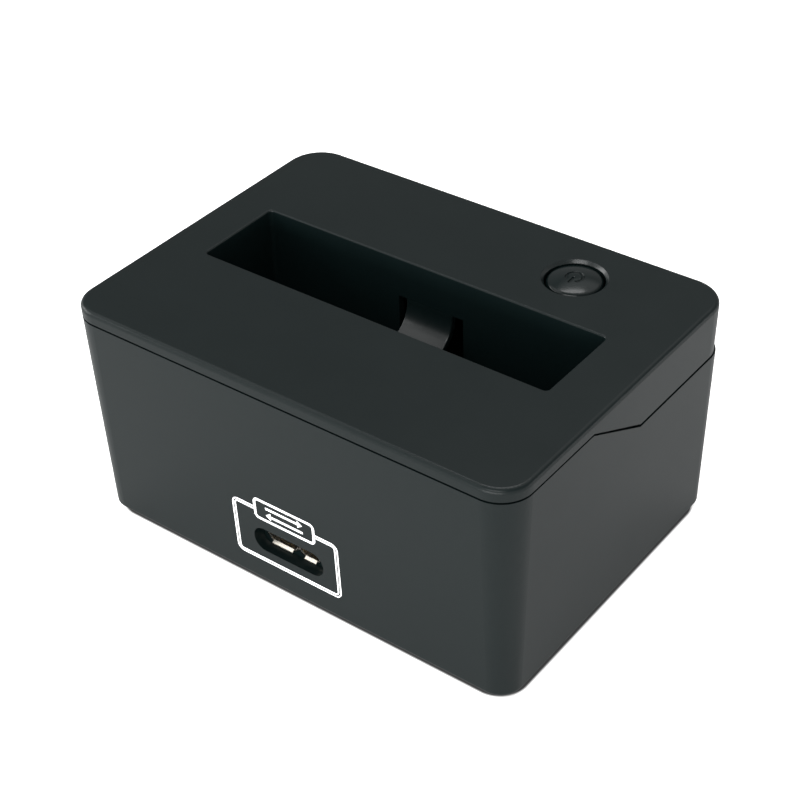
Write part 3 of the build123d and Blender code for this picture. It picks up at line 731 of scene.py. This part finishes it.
def button_stem():
    """A cross of two ribs, drawn down from the cap to the pad that meets the switch."""
    corner = np.array([(stem_arm, -stem_rib), (stem_arm, stem_rib), (stem_rib, stem_rib)])
    cross = []
    for turn in np.arange(4) * np.pi / 2:
        across = np.array([np.cos(turn), np.sin(turn)])
        along = np.array([-np.sin(turn), np.cos(turn)])
        cross.append(corner[:, :1] * across + corner[:, 1:] * along)
    outline = np.concatenate(cross) + button_middle
    levels = [button_low.z + stem_pad_height / 2, cap_rim - cap_wall / 2]
    sections = [np.column_stack([outline, np.full(len(outline), level)]) for level in levels]
    return skin("button_stem", np.stack(sections))


def stem_pad():
    """A short round pad with an eased edge."""
    radius = np.array([0, stem_arm - pad_ease, stem_arm, stem_arm, 0])
    height = button_low.z + np.array([0, 0, pad_ease, stem_pad_height, stem_pad_height])
    return skin("stem_pad", spun(radius, height, button_middle, 48), capped=False)


def recess_ring():
    """The bevel round the button's bore: down and in at 45 degrees, then back to the cover."""
    run = np.linspace(0, np.pi / 4, 5)
    outer, top = recess_radius, cover_high.z
    inner = outer - ring_bevel
    ease_r = inner + ring_ease * (1 - np.cos(run[::-1]))
    ease_z = top - ring_bevel - ring_ease * np.sin(run)
    back, floor_z = outer + ring_ease, top - ring_depth
    radius = np.concatenate([[back, outer], ease_r, [inner, back, back]])
    upper = [top - ring_ease, top - ring_sink]
    height = np.concatenate([upper, ease_z, [floor_z, floor_z, top - ring_ease]])
    return skin("recess_ring", spun(radius, height, button_middle, 160), capped=False)


cap = tidy(button_cap(), button_finish, "button", sharp=50.0)
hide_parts("power_button")
tidy(button_stem(), button_finish, "button")
tidy(stem_pad(), button_finish, "button")
tidy(recess_ring(), ring_finish, "housing", sharp=35.0)

# %% [markdown]
# ## Printed lines round the port
#
# Two thin white lines frame the port, and a small tag with a thicker line breaks into their
# top side. Screen-printed ink is a film a few hundredths of a millimetre thick, so each
# line is a flat ribbon carried along its path on the drafted wall. The tag holds a plain
# mark of two opposed arrows, which says that data goes both ways.

# %% Ink
ink_height = 0.03 * mm
lean = np.arctan(draft_slope)
wall_out = np.array([0.0, -np.cos(lean), -np.sin(lean)])
frame_x, frame_z = -0.485 * mm, 12.63 * mm
frame_length, frame_height, frame_corner = 23.86 * mm, 12.59 * mm, 1.3 * mm
line_width, line_gap = 0.27 * mm, 0.55 * mm
tag_x, tag_z = -0.40 * mm, 18.88 * mm
tag_length, tag_height, tag_corner = 13.4 * mm, 4.32 * mm, 0.85 * mm
tag_line = 0.53 * mm
corner_steps = 8
arrow_reach, arrow_rise, arrow_width = 4.2 * mm, 0.80 * mm, 0.50 * mm
head_length, head_width = 2.2, 3.2


def on_wall(flat):
    """Lifts flat (x, z) places onto the rear wall."""
    flat = np.asarray(flat, float)
    return np.stack([flat[:, 0], rear_face(flat[:, 1]), flat[:, 1]], axis=1)


def ribbon(name, flat, width, loop=False):
    """A flat film of ink along a path on the wall, closed on itself if it is a loop."""
    film = np.array([(-0.5, -1), (0.5, -1), (0.5, 1), (-0.5, 1)]) * (width, ink_height)
    path = on_wall(np.concatenate([flat[-1:], flat, flat[:1]]) if loop else flat)
    grid = carry(film, path, wall_out)
    grid = grid[1:-1] if loop else grid
    tidy(skin(name, grid, loop=loop), ink_finish, "housing")


def frame_line(name, inset):
    """One line of the frame, which starts and ends where the tag breaks it."""
    length, height = frame_length - 2 * inset, frame_height - 2 * inset
    outline = rounded_rectangle(length, height, frame_corner - inset, steps=corner_steps)
    outline = outline + (frame_x, frame_z)
    top = outline[:, 1].max()
    right = (tag_x + tag_length / 2, top)
    left = (tag_x - tag_length / 2, top)
    first_corner, others = outline[:corner_steps], outline[corner_steps:]
    ribbon(name, np.concatenate([[left], others, first_corner, [right]]), line_width)


frame_line("frame_line_outer", 0.0)
frame_line("frame_line_inner", line_gap)
tag_outline = rounded_rectangle(tag_length, tag_height, tag_corner, steps=10) + (tag_x, tag_z)
ribbon("tag_line", tag_outline, tag_line, loop=True)


def arrow(name, tail, head, width):
    """A straight arrow of ink: a shaft, and a head whose sizes count in shaft widths."""
    tail, head = np.array(tail), np.array(head)
    ahead = (head - tail) / np.linalg.norm(head - tail)
    side = np.array([-ahead[1], ahead[0]])
    neck = head - ahead * head_length * width
    wing = side * head_width / 2 * width
    half = side * width / 2
    outline = np.array(
        [tail + half, tail - half, neck - half, neck - wing, head, neck + wing, neck + half]
    )
    flat = on_wall(outline)
    grid = np.stack([flat - wall_out * ink_height, flat + wall_out * ink_height])
    tidy(skin(name, grid), ink_finish, "housing")


for name, way in (("arrow_out", 1), ("arrow_in", -1)):
    height = tag_z + way * arrow_rise
    tail = (tag_x - way * arrow_reach, height)
    head = (tag_x + way * arrow_reach, height)
    arrow(name, tail, head, arrow_width)

# %% [markdown]
# ## Light of the room
#
# The room is a ramp of brightness over height, white at the horizon and dim overhead, so
# that no wall of the dock is left black from any side. The ramp leans a little: the far
# side, where Y is high, counts as higher.

# %% Room
world = bpy.data.worlds.new("room")
bpy.context.scene.world = world
world.use_nodes = True
sky = world.node_tree.nodes["Background"]
directions = Signal(
    world.node_tree, world.node_tree.nodes.new("ShaderNodeTexCoord").outputs["Generated"]
)
_, depth, height = directions.parts()
ramp_lean = 0.45
rise = height + ramp_lean * depth
stops = (0.0, 0.26, 0.40, 0.50, 0.78, 0.90, 1.0)
levels = (1.0, 0.95, 0.40, 0.32, 0.37, 0.25, 0.26)
shades = [(stop, (level, level, level)) for stop, level in zip(stops, levels)]
ramp = rise.make("ValToRGB", {"stops": shades}, {0: rise})
directions.plug(sky, {"Color": ramp, "Strength": 2.1})

view = bpy.context.scene.view_settings
view.view_transform = "Standard"
view.look = "None"
